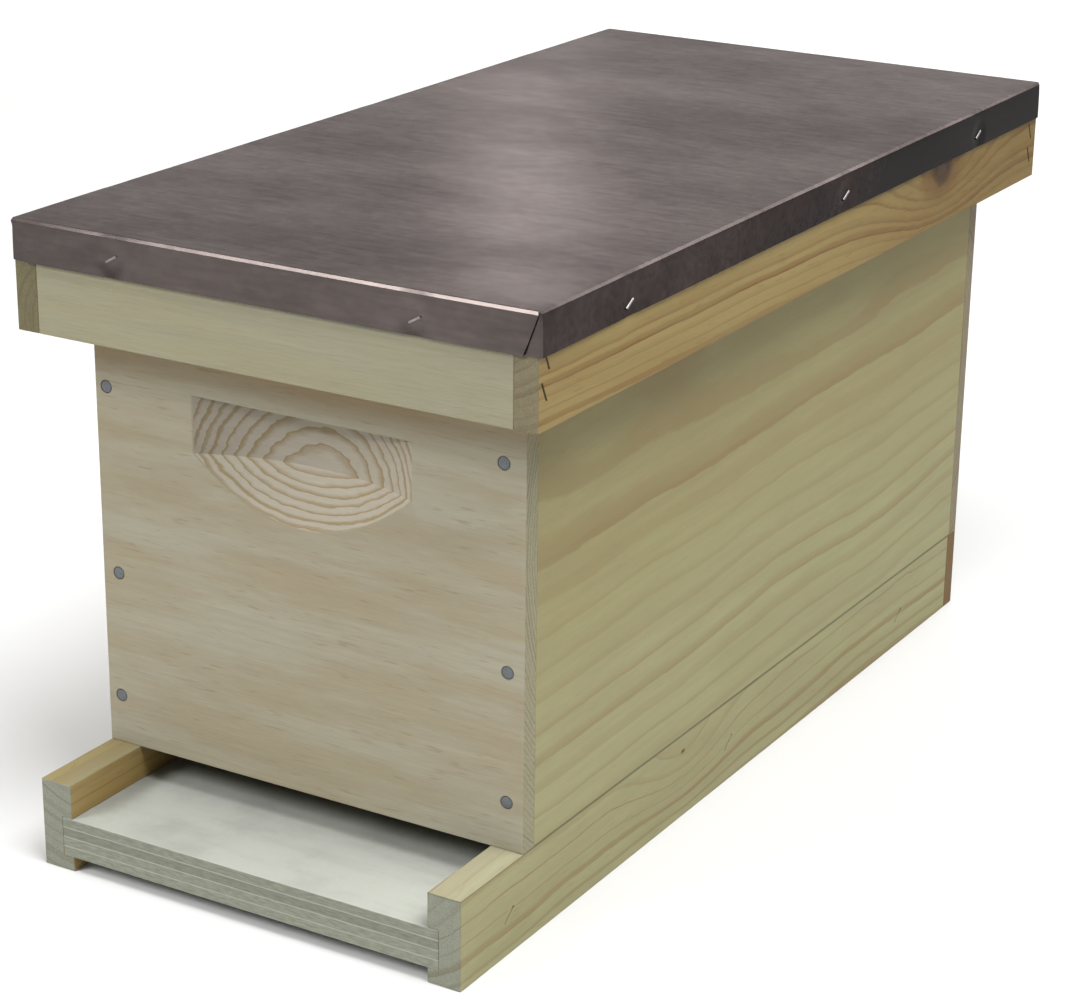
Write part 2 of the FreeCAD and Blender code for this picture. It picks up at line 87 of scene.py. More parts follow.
KNOT_RIM = (0.152, 0.084, 0.024)
PLY_FACE = (0.344, 0.354, 0.320)
PLY_LINE = (0.344, 0.352, 0.300)
PLY_CORE = (0.188, 0.197, 0.152)
WAX = (0.560, 0.310, 0.050)
WAX_BLOOM = (0.640, 0.440, 0.160)
ZINC = (0.095, 0.078, 0.073)
ZINC_EDGE = (0.84, 0.76, 0.745)
NAIL_GREY = (0.150, 0.160, 0.170)
WIRE = (0.300, 0.285, 0.275)
STAIN = (0.085, 0.072, 0.055)


# ---- wiring helpers ---------------------------------------------------------------------------
class Wires:
    """Adds nodes to one tree and links them; every call hands back an output socket."""

    def __init__(self, tree):
        self.tree = tree

    def add(self, kind, **settings):
        made = self.tree.nodes.new(kind)
        for key, value in settings.items():
            setattr(made, key, value)
        return made

    def feed(self, socket, value):
        if hasattr(value, "links"):
            self.tree.links.new(value, socket)
        elif value is not None:
            socket.default_value = value

    def math(self, operation, *values):
        made = self.add("ShaderNodeMath", operation=operation)
        for socket, value in zip(made.inputs, values):
            self.feed(socket, value)
        return made.outputs[0]

    def vector(self, operation, *values):
        made = self.add("ShaderNodeVectorMath", operation=operation)
        for socket, value in zip(made.inputs, values):
            self.feed(socket, value)
        return made.outputs[1 if operation in ("LENGTH", "DOT_PRODUCT") else 0]

    def ramp(self, value, low, high, start=0.0, end=1.0, smooth=True):
        """Value from low to high becomes start to end, and is held outside."""
        style = "SMOOTHSTEP" if smooth else "LINEAR"
        made = self.add("ShaderNodeMapRange", interpolation_type=style)
        for socket, number in zip(made.inputs, (value, low, high, start, end)):
            self.feed(socket, number)
        return made.outputs[0]

    def mix(self, share, first, second):
        """Colour mix; first and second are sockets or linear colours."""
        made = self.add("ShaderNodeMix", data_type="RGBA")
        self.feed(made.inputs[0], share)
        for socket, value in zip((made.inputs[6], made.inputs[7]), (first, second)):
            self.feed(socket, value if hasattr(value, "links") else (*value, 1.0))
        return made.outputs[2]

    def shade(self, colour, amount):
        """Colour times a number."""
        made = self.add("ShaderNodeVectorMath", operation="SCALE")
        self.feed(made.inputs[0], colour)
        self.feed(made.inputs[3], amount)
        return made.outputs[0]

    def noise(self, where, scale, detail=2.0, rough=0.5, seed=0.0):
        made = self.add("ShaderNodeTexNoise", noise_dimensions="4D")
        settings = {"Vector": where, "Scale": scale, "Detail": detail, "Roughness": rough, "W": seed}
        for name, value in settings.items():
            self.feed(made.inputs[name], value)
        return made.outputs[0]

    def streaks(self, where, along, across, detail=2.0, rough=0.5, seed=0.0):
        """Noise drawn out along X: along and across are features per metre."""
        return self.noise(self.vector("MULTIPLY", where, (along, across, across)), 1.0, detail, rough, seed)

    def parts(self, where):
        made = self.add("ShaderNodeSeparateXYZ")
        self.feed(made.inputs[0], where)
        return made.outputs

    def group(self, tree, **values):
        made = self.add("ShaderNodeGroup", node_tree=tree)
        for name, value in values.items():
            self.feed(made.inputs[name.replace("_", " ")], value)
        return made.outputs


FLOAT, VECTOR = "NodeSocketFloat", "NodeSocketVector"


def new_group(name, inputs, outputs):
    """An empty shader group with its sockets, and the wires to fill it."""
    tree = bpy.data.node_groups.new(name, "ShaderNodeTree")
    for label, kind, default in inputs:
        socket = tree.interface.new_socket(label, in_out="INPUT", socket_type=kind)
        if default is not None:
            socket.default_value = default
    for label in outputs:
        tree.interface.new_socket(label, in_out="OUTPUT", socket_type=FLOAT)
    w = Wires(tree)
    return tree, w, w.add("NodeGroupInput").outputs, w.add("NodeGroupOutput").inputs


def ring_group():
    """Growth rings round a pith that runs along X: a late-wood mask and a tone for each ring."""
    inputs = [("Vector", VECTOR, None), ("Ring Width", FLOAT, 0.004), ("Waver", FLOAT, 0.002),
              ("Waver Pace", FLOAT, 5.0), ("Ripple", FLOAT, 0.2), ("Late Start", FLOAT, 0.4),
              ("Drift", FLOAT, 1.0), ("Swell", FLOAT, 0.0), ("Seed", FLOAT, 0.0)]
    tree, w, given, out = new_group("growth rings", inputs, ["Late", "Ring Tone"])
    where, width, waver, pace, ripple, late_start, drift, swell, seed = (given[i] for i in range(9))
    _, y, z = w.parts(where)
    slow = w.vector("MULTIPLY", where, (1.0, 1.8, 1.8))
    sway = w.math("SUBTRACT", w.noise(slow, pace, 2.0, 0.45, seed), 0.5)
    lift = w.math("SUBTRACT", w.noise(slow, pace, 2.0, 0.45, w.math("ADD", seed, 7.3)), 0.5)
    y = w.math("MULTIPLY_ADD", sway, waver, y)
    z = w.math("MULTIPLY_ADD", lift, waver, z)
    radius = w.math("SQRT", w.math("ADD", w.math("MULTIPLY", y, y), w.math("MULTIPLY", z, z)))
    radius = w.math("ADD", radius, swell)
    shiver = w.math("SUBTRACT", w.streaks(where, 60.0, 200.0, 2.0, 0.6, seed), 0.5)
    count = w.math("DIVIDE", radius, width)
    count = w.math("MULTIPLY_ADD", shiver, ripple, count)
    uneven = w.add("ShaderNodeTexNoise", noise_dimensions="1D")
    w.feed(uneven.inputs["W"], w.math("MULTIPLY_ADD", count, 0.37, seed))
    count = w.math("MULTIPLY_ADD", uneven.outputs[0], drift, count)
    share = w.math("FRACT", count)
    rise = w.ramp(share, late_start, 0.88)
    fall = w.ramp(share, 0.93, 1.0, 1.0, 0.0)
    tone = w.add("ShaderNodeTexWhiteNoise", noise_dimensions="1D")
    w.feed(tone.inputs["W"], w.math("ADD", w.math("FLOOR", count), seed))
    w.feed(out["Late"], w.math("MULTIPLY", w.math("POWER", rise, 1.5), fall))
    w.feed(out["Ring Tone"], tone.outputs[0])
    return tree


def fibre_group():
    """Fine streaks along X, broad clouds, and the short dark dashes of resin canals."""
    inputs = [("Vector", VECTOR, None), ("Seed", FLOAT, 0.0)]
    tree, w, given, out = new_group("wood fibre", inputs, ["Fine", "Streak", "Cloud", "Dash"])
    where, seed = given[0], given[1]
    w.feed(out["Fine"], w.streaks(where, 60.0, 1500.0, 3.0, 0.65, seed))
    w.feed(out["Streak"], w.streaks(where, 10.0, 230.0, 3.0, 0.55, seed))
    w.feed(out["Cloud"], w.streaks(where, 8.0, 40.0, 4.0, 0.62, seed))
    dash = w.streaks(where, 75.0, 700.0, 1.0, 0.5, w.math("ADD", seed, 3.1))
    w.feed(out["Dash"], w.ramp(dash, 0.61, 0.74))
    return tree


def knot_group():
    """A branch through a board: how far it pushes the rings, its heart, its rim and its own rings."""
    inputs = [("Vector", VECTOR, None), ("Centre", VECTOR, None), ("Across", VECTOR, None),
              ("Radius", FLOAT, 0.006), ("Reach", FLOAT, 0.03), ("Push", FLOAT, 0.01)]
    tree, w, given, out = new_group("knot", inputs, ["Swell", "Heart", "Rim", "Rings"])
    where, centre, across, radius, reach, push = (given[i] for i in range(6))
    offset = w.vector("MULTIPLY", w.vector("SUBTRACT", where, centre), across)
    wobble = w.math("SUBTRACT", w.noise(where, 110.0, 2.0, 0.5), 0.5)
    gap = w.math("MULTIPLY_ADD", wobble, w.math("MULTIPLY", radius, 0.9), w.vector("LENGTH", offset))
    near = w.math("DIVIDE", gap, reach)
    fade = w.math("POWER", math.e, w.math("MULTIPLY", w.math("MULTIPLY", near, near), -1.0))
    ratio = w.math("DIVIDE", gap, radius)
    rim = w.math("MULTIPLY", w.ramp(ratio, 0.6, 1.0), w.ramp(ratio, 1.0, 2.4, 1.0, 0.0))
    w.feed(out["Swell"], w.math("MULTIPLY", fade, push))
    w.feed(out["Heart"], w.ramp(ratio, 0.7, 1.1, 1.0, 0.0))
    w.feed(out["Rim"], rim)
    w.feed(out["Rings"], w.math("MULTIPLY_ADD", w.math("SINE", w.math("MULTIPLY", ratio, 11.0)), 0.5, 0.5))
    return tree


RINGS = ring_group()
FIBRE = fibre_group()
KNOT = knot_group()


def new_material(name):
    """An empty material: its wires, its Principled shader's inputs and its texture coordinates."""
    material = bpy.data.materials.new(name)
    material.use_nodes = True
    w = Wires(material.node_tree)
    shader = material.node_tree.nodes["Principled BSDF"].inputs
    return material, w, shader, w.add("ShaderNodeTexCoord").outputs


def set_relief(w, shader, height, distance):
    bump = w.add("ShaderNodeBump")
    w.feed(bump.inputs["Distance"], distance)
    w.feed(bump.inputs["Height"], height)
    w.feed(shader["Normal"], bump.outputs[0])


# ---- wood -------------------------------------------------------------------------------------
TRUNK_TURN = {"X": (0, 0, 0), "Y": (0, 0, 90), "Z": (0, -90, 0)}
TRUNK_AXIS = {"X": (1, 0, 0), "Y": (0, 1, 0), "Z": (0, 0, 1)}


class Pine:
    """Solid pine: rings round a pith line, fibres along the trunk, end grain, and extra marks.

    pith is a point of the pith line in metres, ring and waver are in millimetres, lean turns
    the trunk in degrees, late_start is where in a ring the dark wood begins.
    """

    def __init__(self, name, trunk, pith, ring, ground, blush, line, end, depth=0.8, waver=5.0, pace=5.0,
                 ripple=0.2, late_start=0.4, drift=1.0, lean=(0.0, 0.0), blush_share=0.6, dashes=0.3,
                 seed=0.0, knot=None, marks=()):
        self.material, self.w, self.shader, spots = new_material(name)
        w = self.w
        self.where = spots["Object"]
        self.normal = spots["Normal"]
        place = w.add("ShaderNodeMapping", vector_type="TEXTURE")
        w.feed(place.inputs["Vector"], self.where)
        turn = TRUNK_TURN[trunk]
        place.inputs["Location"].default_value = pith
        place.inputs["Rotation"].default_value = [
            math.radians(angle) for angle in (turn[0], turn[1] + lean[0], turn[2] + lean[1])]
        grain = place.outputs[0]
        swell = 0.0
        if knot:
            centre, across, radius, reach, push = knot
            bough = w.group(KNOT, Vector=self.where, Centre=centre, Across=across, Radius=radius * MM,
                            Reach=reach * MM, Push=push * MM)
            swell = bough["Swell"]
        self.rings = w.group(RINGS, Vector=grain, Ring_Width=ring * MM, Waver=waver * MM, Waver_Pace=pace,
                             Ripple=ripple, Late_Start=late_start, Drift=drift, Swell=swell, Seed=seed)
        self.fibre = w.group(FIBRE, Vector=grain, Seed=seed)
        facing = w.math("ABSOLUTE", w.vector("DOT_PRODUCT", spots["Normal"], TRUNK_AXIS[trunk]))
        self.end = w.ramp(facing, 0.55, 0.85)
        cloud = w.ramp(self.fibre["Cloud"], 0.36, 0.66)
        face = w.mix(w.math("MULTIPLY", cloud, blush_share), ground, blush)
        late = w.math("MULTIPLY", self.rings["Late"], w.ramp(self.rings["Ring Tone"], 0.0, 1.0, 0.4, 1.0))
        patchy = w.ramp(self.fibre["Streak"], 0.25, 0.75, 0.6, 1.15)
        self.line = w.math("MULTIPLY", w.math("MULTIPLY", late, patchy), depth)
        face = w.mix(self.line, face, line)
        face = w.mix(w.math("MULTIPLY", self.fibre["Dash"], dashes), face, line)
        end_face = w.mix(w.math("MULTIPLY", late, 0.6), end, END_LINE)
        pores = w.noise(self.where, 1300.0, 2.0, 0.6, seed)
        end_face = w.shade(end_face, w.ramp(pores, 0.3, 0.7, 0.86, 1.14))
        self.colour = w.mix(self.end, face, end_face)
        if knot:
            self.colour = w.mix(w.math("MULTIPLY", bough["Rim"], 0.8), self.colour, KNOT_RIM)
            heart = w.mix(w.math("MULTIPLY", bough["Rings"], 0.3), KNOT_HEART, KNOT_RIM)
            self.colour = w.mix(bough["Heart"], self.colour, heart)
        self.stain(marks)

    def stain(self, marks):
        """Dark rims where nails were driven; marks are points on the face, in metres."""
        w = self.w
        for mark in marks:
            gap = w.vector("LENGTH", w.vector("SUBTRACT", self.where, mark))
            ring = w.ramp(gap, 2.7 * MM, 4.0 * MM, 0.75, 0.0)
            self.colour = w.mix(ring, self.colour, STAIN)

    def finish(self):
        """Adds fibre shading, roughness and relief, and hands the material back."""
        w = self.w
        fine = w.ramp(self.fibre["Fine"], 0.2, 0.8, 0.90, 1.10, smooth=False)
        streak = w.ramp(self.fibre["Streak"], 0.2, 0.8, 0.93, 1.07, smooth=False)
        self.colour = w.shade(self.colour, w.math("MULTIPLY", fine, streak))
        w.feed(self.shader["Base Color"], self.colour)
        w.feed(self.shader["Roughness"], w.ramp(self.fibre["Fine"], 0.3, 0.7, 0.55, 0.72))
        self.shader["Specular IOR Level"].default_value = 0.3
        height = w.math("MULTIPLY_ADD", self.line, 0.5, self.fibre["Fine"])
        height = w.math("MULTIPLY_ADD", self.end, self.fibre["Streak"], height)
        set_relief(w, self.shader, height, 0.12 * MM)
        return self.material


def pine(*place, **look):
    return Pine(*place, **look).finish()


def face_marks(spots, y):
    return [(side * (BODY_SIDE - inset * MM), y, BODY_BOTTOM + height * MM) for side, inset, height in spots]


def front_board_pine():
    """Pinkish flat-sawn board, bark side out; its hand hold cuts through the rings behind the face."""
    pith = (0.030, FACE_LOW.y + 0.1296, BODY_BOTTOM + 0.149)
    wood = Pine("front board pine", "X", pith, 2.3, FACE_GREY, FACE_TAN, FACE_LINE, FACE_END, depth=0.18,
                waver=7.0, pace=9.0, ripple=0.8, late_start=0.42, drift=0.5, lean=(0.4, -0.6),
                blush_share=0.85, dashes=0.55, seed=21.0, marks=face_marks(FRONT_NAILS, FACE_LOW.y))
    w = wood.w
    x, y, z = w.parts(wood.where)
    height = w.math("SUBTRACT", z, BODY_BOTTOM)
    inside = w.ramp(y, FACE_LOW.y + 0.2 * MM, FACE_LOW.y + 0.6 * MM)
    narrow = w.ramp(w.math("ABSOLUTE", w.math("ADD", x, 1.5 * MM)), 63 * MM, 64 * MM, 1.0, 0.0)
    high = w.ramp(height, 134 * MM, 135 * MM)
    low = w.ramp(height, 191 * MM, 192 * MM, 1.0, 0.0)
    hollow = w.math("MULTIPLY", w.math("MULTIPLY", inside, narrow), w.math("MULTIPLY", high, low))
    clean = w.mix(w.math("MULTIPLY", wood.rings["Late"], 0.85), SCOOP_PALE, SCOOP_RING)
    # painted shade: the band just under the lid's overhang is painted darker and warmer, standing in for the
    # lid's shadow
    underlid_painted_shade = w.vector("MULTIPLY", wood.colour, (1.05, 0.84, 0.62))
    wood.colour = w.mix(w.ramp(height, 0.188, 0.216), wood.colour, underlid_painted_shade)
    # painted light and shade in the hand hold: faces that look upward are painted lighter, the others darker,
    # and the left wall darker still, standing in for light from above and the left
    tilt = w.parts(w.add("ShaderNodeTexCoord").outputs["Normal"])[2]
    left = w.ramp(x, -60 * MM, 5 * MM, 0.84, 1.0)
    clean = w.shade(clean, w.ramp(tilt, 0.1, 0.4, 0.94, 1.10))
    clean = w.shade(clean, w.math("MAXIMUM", left, w.ramp(tilt, 0.1, 0.4)))
    wood.colour = w.mix(hollow, wood.colour, clean)
    return wood.finish()


def side_board_pine(name, pith, seed, lean):
    """Greenish board: plain above, soft brown bands below."""
    wood = Pine(name, "Y", pith, 13.0, KHAKI, KHAKI_SHADE, KHAKI_BAND, PINK_END, depth=0.72, waver=20.0,
                pace=6.0, ripple=0.15, late_start=0.48, drift=0.5, lean=lean, blush_share=0.45, dashes=0.15,
                seed=seed)
    w = wood.w
    height = w.math("SUBTRACT", w.parts(wood.where)[2], BODY_BOTTOM)
    # painted shade: the upper part of the board, under the lid's overhang, is painted darker and warmer
    underlid_painted_shade = w.vector("MULTIPLY", wood.colour, (0.93, 0.87, 0.78))
    wood.colour = w.mix(w.ramp(height, 0.03, 0.15), wood.colour, underlid_painted_shade)
    wood.colour = w.shade(wood.colour, w.ramp(height, 0.3 * MM, 1.4 * MM, 0.5, 1.0))
    return wood.finish()


def plywood(name, node, plies, face, seed=0.0):
    """Plywood: a smooth face veneer, and edges that show dark plies between thin light lines."""
    low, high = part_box(node)
    material, w, shader, spots = new_material(name)
    where = spots["Object"]
    z = w.parts(where)[2]
    wave = w.noise(w.vector("MULTIPLY", where, (20.0, 20.0, 60.0)), 1.0, 2.0, 0.5, seed)
    wave = w.math("SUBTRACT", wave, 0.5)
    level = w.ramp(w.math("MULTIPLY_ADD", wave, 0.8 * MM, z), low.z, high.z, 0.0, float(plies), smooth=False)
    share = w.math("FRACT", level)
    seam = w.math("MAXIMUM", w.ramp(share, 0.03, 0.11, 1.0, 0.0), w.ramp(share, 0.92, 1.0))
    tone = w.add("ShaderNodeTexWhiteNoise", noise_dimensions="1D")
    w.feed(tone.inputs["W"], w.math("ADD", w.math("FLOOR", level), seed))
    coarse = w.noise(w.vector("MULTIPLY", where, (170.0, 170.0, 900.0)), 1.0, 3.0, 0.65, seed)
    core = w.shade(PLY_CORE, w.ramp(coarse, 0.25, 0.75, 0.78, 1.25))
    core = w.shade(core, w.ramp(tone.outputs[0], 0.0, 1.0, 0.92, 1.12))
    edge = w.mix(w.math("MULTIPLY", seam, 0.8), core, PLY_LINE)
    cloud = w.ramp(w.noise(where, 22.0, 4.0, 0.6, seed), 0.32, 0.72)
    figure = w.ramp(w.streaks(where, 14.0, 95.0, 4.0, 0.65, seed), 0.42, 0.75)
    speck = w.ramp(w.noise(where, 500.0, 2.0, 0.6, seed), 0.62, 0.75)
    veneer = w.shade(face, w.ramp(cloud, 0.0, 1.0, 1.06, 0.90))
    veneer = w.shade(veneer, w.ramp(figure, 0.0, 1.0, 1.0, 0.92))
    veneer = w.mix(w.math("MULTIPLY", speck, 0.22), veneer, PLY_CORE)
    upright = w.math("ABSOLUTE", w.vector("DOT_PRODUCT", spots["Normal"], (0, 0, 1)))
    w.feed(shader["Base Color"], w.mix(w.ramp(upright, 0.45, 0.8), edge, veneer))
    w.feed(shader["Roughness"], w.ramp(coarse, 0.3, 0.7, 0.58, 0.75))
    shader["Specular IOR Level"].default_value = 0.3
    set_relief(w, shader, w.math("MULTIPLY_ADD", seam, -0.6, coarse), 0.15 * MM)
    return material


# ---- metal and wax ----------------------------------------------------------------------------
def sheet_metal():
    """Dull galvanised sheet: fine rolled lines, faint spangle, handling smears and scratches, and painted
    shade on the side skirts, darker towards the rear.
    """
    material, w, shader, spots = new_material("galvanised sheet")
    where = spots["Object"]
    rolled = w.streaks(where, 45.0, 330.0, 3.0, 0.6, 1.0)
    smear = w.noise(w.vector("MULTIPLY", where, (9.0, 14.0, 14.0)), 1.0, 4.0, 0.6, 2.0)
    scratch = w.ramp(w.streaks(where, 40.0, 260.0, 4.0, 0.75, 5.0), 0.66, 0.72)
    spangle = w.add("ShaderNodeTexVoronoi")
    w.feed(spangle.inputs["Vector"], where)
    w.feed(spangle.inputs["Scale"], 240.0)
    flake = w.parts(spangle.outputs["Color"])[0]
    tone = w.math("MULTIPLY", w.ramp(smear, 0.3, 0.7, 0.84, 1.14), w.ramp(flake, 0.0, 1.0, 0.96, 1.04))
    tone = w.math("MULTIPLY", tone, w.ramp(rolled, 0.3, 0.7, 0.90, 1.10))
    tone = w.math("MULTIPLY_ADD", scratch, 0.18, tone)
    # painted shade: the side skirts are painted darker, more so towards the rear, which dims the reflection
    # they show
    sideways = w.math("ABSOLUTE", w.parts(spots["Normal"])[0])
    painted_skirt_shade = w.math("MULTIPLY", w.ramp(sideways, 0.8, 0.95), w.ramp(w.parts(where)[1], -0.2, 0.25, 0.52, 0.72))
    tone = w.math("MULTIPLY", tone, w.math("SUBTRACT", 1.0, painted_skirt_shade))
    w.feed(shader["Base Color"], w.shade(ZINC, tone))
    shader["Metallic"].default_value = 0.75
    w.feed(shader["Specular Tint"], w.shade(ZINC_EDGE, tone))
    w.feed(shader["Roughness"], w.ramp(rolled, 0.3, 0.7, 0.244, 0.262))
    set_relief(w, shader, rolled, 0.003 * MM)
    return material


def wire_metal(name, tone, rough, metallic):
    """Drawn steel, faintly mottled."""
    material, w, shader, spots = new_material(name)
    mottle = w.noise(spots["Object"], 900.0, 3.0, 0.6)
    w.feed(shader["Base Color"], w.shade(tone, w.ramp(mottle, 0.3, 0.7, 0.75, 1.1)))
    shader["Metallic"].default_value = metallic
    w.feed(shader["Roughness"], w.ramp(mottle, 0.3, 0.7, rough, rough + 0.18))
    set_relief(w, shader, mottle, 0.06 * MM)
    return material


def comb_wax():
    """Waxed comb foundation with a pale bloom."""
    material, w, shader, spots = new_material("comb wax")
    bloom = w.noise(spots["Object"], 35.0, 4.0, 0.6)
    w.feed(shader["Base Color"], w.mix(w.ramp(bloom, 0.3, 0.75), WAX, WAX_BLOOM))
    w.feed(shader["Roughness"], w.ramp(bloom, 0.3, 0.7, 0.35, 0.55))
    shader["Subsurface Weight"].default_value = 0.1
    shader["Subsurface Radius"].default_value = (4 * MM, 2 * MM, 1 * MM)
    set_relief(w, shader, w.noise(spots["Object"], 600.0, 2.0, 0.5), 0.05 * MM)
    return material


# ---- materials on the CAD pieces --------------------------------------------------------------
def dress(node, material):
    """Gives a CAD node its material."""
    mesh = NODES[node].data
    mesh.materials.clear()
    mesh.materials.append(material)


def depth_below(wood, height):
    """How far each point of the wood lies under a height."""
    return wood.w.math("SUBTRACT", height, wood.w.parts(wood.where)[2])


def tint_facing(wood, way, tint):
    """Multiplies the wood's colour by tint on the faces that look the given way."""
    w = wood.w
    toward = w.ramp(w.vector("DOT_PRODUCT", wood.normal, way), 0.75, 0.95)
    wood.colour = w.mix(toward, wood.colour, w.vector("MULTIPLY", wood.colour, tint))


def dress_bottom_board():
    left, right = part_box("bottom_left_rail"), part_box("bottom_right_rail")
    knot = ((right[1].x, -0.083, 0.037), (0.0, 0.5, 1.0), 0.7, 24.0, -14.0)
    wood = Pine("right rail pine", "Y", (right[0].x - 0.035, 0.0, 0.085), 7.0, KHAKI, KHAKI_SHADE,
                KHAKI_BAND, GREY_END, depth=0.95, waver=12.0, pace=7.0, late_start=0.42, lean=(-0.5, 0.3),
                seed=3.0, knot=knot)
    depth = depth_below(wood, BODY_BOTTOM)
    wood.colour = wood.w.shade(wood.colour, wood.w.ramp(depth, 0.2 * MM, 1.2 * MM, 0.6, 1.0))
    # painted light: the top face is painted lighter and paler than the sides, as if lit from above
    tint_facing(wood, (0, 0, 1), (1.50, 1.50, 1.88))
    dress("bottom_right_rail", wood.finish())
    wood = Pine("left rail pine", "Y", (left[1].x + 0.020, 0.0, 0.100), 6.0, RAIL_TAN, AMBER, AMBER_LINE,
                GREY_END, depth=0.5, waver=9.0, lean=(0.4, -0.5), seed=8.0)
    # painted light: the inner face is painted lighter and warmer, partly its own amber tone and partly light
    # painted over the shade it lies in
    tint_facing(wood, (1, 0, 0), (1.45, 1.27, 1.02))
    dress("bottom_left_rail", wood.finish())
    dress("bottom_rear_rail", pine(
        "rear rail pine", "X", (0.0, 0.330, 0.090), 4.0, KHAKI, FACE_TAN, AMBER_LINE, KNOT_RIM,
        depth=0.6, seed=11.0))
    dress("bottom_floor", plywood("floor plywood", "bottom_floor", 4, PLY_FACE, seed=2.0))


def dress_body():
    dress("body_front_board", front_board_pine())
    dress("body_rear_board", pine(
        "rear board pine", "X", (0.0, REAR_HIGH.y - 0.09, BODY_BOTTOM + 0.110), 4.5, FACE_GREY, FACE_TAN,
        FACE_LINE, PINK_END, depth=0.6, waver=10.0, seed=25.0, marks=face_marks(REAR_NAILS, REAR_HIGH.y)))
    dress("body_right_side", side_board_pine(
        "right side pine", (BODY_SIDE - 0.070, 0.0, BODY_BOTTOM + 0.195), 31.0, (-0.8, 0.0)))
    dress("body_left_side", side_board_pine(
        "left side pine", (0.060 - BODY_SIDE, 0.0, BODY_BOTTOM + 0.180), 37.0, (0.5, 0.4)))


def dress_lid():
    front_low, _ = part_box("lid_front_rail")
    knot = ((RAIL_HIGH.x, 0.157, RAIL_LOW.z + 30 * MM), (0.0, 0.55, 1.0), 8.5, 34.0, -16.0)
    wood = Pine("lid right rail pine", "Y", (RAIL_HIGH.x - 0.030, 0.0, RAIL_HIGH.z + 0.010), 5.0,
                AMBER, AMBER_SHADE, AMBER_LINE, PINK_END, depth=1.0, waver=9.0, pace=6.0, late_start=0.30,
                lean=(1.6, 1.0), seed=41.0, knot=knot)
    w = wood.w
    # painted shade: the rail is painted darker and browner towards the rear, standing in for the light
    # falling off there
    rail_rear_painted_shade = w.vector("MULTIPLY", wood.colour, (0.72, 0.64, 0.48))
    wood.colour = w.mix(w.ramp(w.parts(wood.where)[1], -0.02, 0.20), wood.colour, rail_rear_painted_shade)
    tint_facing(wood, (0, -1, 0), (0.77, 0.78, 0.73))
    dress("lid_right_rail", wood.finish())
    wood = Pine("lid left rail pine", "Y", (0.030 - RAIL_HIGH.x, 0.0, RAIL_LOW.z + 0.010), 4.4,
                AMBER, KHAKI_SHADE, AMBER_LINE, BROWN_END, depth=0.6, waver=8.0, lean=(-0.7, 0.6), seed=43.0)
    tint_facing(wood, (0, -1, 0), (0.71, 0.72, 0.64))
    dress("lid_left_rail", wood.finish())
    dress("lid_front_rail", pine(
        "lid front rail pine", "X", (0.0, front_low.y + 0.060, front_low.z - 0.070), 5.0, LID_FACE,
        KHAKI_SHADE, LID_LINE, PINK_END, depth=0.5, waver=8.0, lean=(0.0, 0.4), blush_share=0.35,
        dashes=0.45, seed=47.0))
    dress("lid_rear_rail", pine(
        "lid rear rail pine", "X", (0.0, RAIL_HIGH.y + 0.040, RAIL_LOW.z - 0.050), 4.0, LID_FACE, KHAKI_SHADE,
        LID_LINE, PINK_END, depth=0.6, waver=8.0, seed=49.0))
    dress("lid_top_board", plywood("lid plywood", "lid_top_board", 3, LID_FACE, seed=5.0))


def dress_inner_cover():
    dress("cover_panel", plywood("cover plywood", "cover_panel", 3, CREAM, seed=6.0))
    for number, side in enumerate(("left", "right", "front", "rear")):
        node = f"cover_{side}_cleat"
        low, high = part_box(node)
        pith = ((low.x + high.x) / 2 + 0.01, (low.y + high.y) / 2 + 0.01, low.z - 0.03)
        trunk = "Y" if side in ("left", "right") else "X"
        dress(node, pine(f"{side} cleat pine", trunk, pith, 3.4, CREAM, KHAKI_SHADE, CREAM_LINE, PINK_END,
                         depth=0.6, seed=60.0 + number))


def dress_frames():
    """One trunk for each kind of bar; every frame cuts its bars from another part of it."""
    looks = dict(ground=CREAM, blush=AMBER, line=CREAM_LINE, end=PINK_END, depth=0.7, waver=4.0,
                 blush_share=0.35)
    woods = {
        "top_bar": pine("top bar pine", "Y", (0.024, 0.0, 0.190), 3.1, seed=70.0, **looks),
        "bottom_bar": pine("bottom bar pine", "Y", (-0.031, 0.0, 0.110), 2.6, seed=72.0, **looks),
    }
    for side in ("front", "rear"):
        woods[f"{side}_end_bar"] = pine(
            f"{side} end bar pine", "Z", (0.021, 0.05, 0.0), 2.8, seed=74.0, **looks)
    for number in range(1, 6):
        for part, wood in woods.items():
            dress(f"frame_{number}_{part}", wood)


# ---- modelling helpers ------------------------------------------------------------------------
def begin(primitive, scale=(1, 1, 1), **settings):
    """Adds a primitive with nothing else selected, puts its place in its mesh and opens it."""
    bpy.ops.object.select_all(action="DESELECT")
    primitive(**settings)
    bpy.context.object.scale = scale
    bpy.ops.object.transform_apply(location=True, rotation=True, scale=True)
    bpy.ops.object.mode_set(mode="EDIT")
    return bpy.context.object


def pick(kind, test):
    """Selects the vertices, edges or faces of the open mesh whose middle passes the test."""
    mesh = bpy.context.object.data
    bpy.ops.mesh.select_mode(type=kind)
    bpy.ops.mesh.select_all(action="DESELECT")
    shape = bmesh.from_edit_mesh(mesh)
    for item in {"VERT": shape.verts, "EDGE": shape.edges, "FACE": shape.faces}[kind]:
        corners = [item] if kind == "VERT" else item.verts
        middle = sum((corner.co for corner in corners), Vector()) / len(corners)
        if test(middle):
            item.select_set(True)
    shape.select_flush_mode()
    bmesh.update_edit_mesh(mesh)


def push(move, spread=0.0, falloff="SMOOTH"):
    """Moves what is selected, and drags its surroundings along up to the spread."""
    if spread:
        bpy.ops.transform.translate(value=move, use_proportional_edit=True, proportional_size=spread,
                                    proportional_edit_falloff=falloff, use_proportional_connected=True)
    else:
        bpy.ops.transform.translate(value=move)


def pull_edges(*move):
    bpy.ops.mesh.extrude_edges_move(TRANSFORM_OT_translate={"value": move})


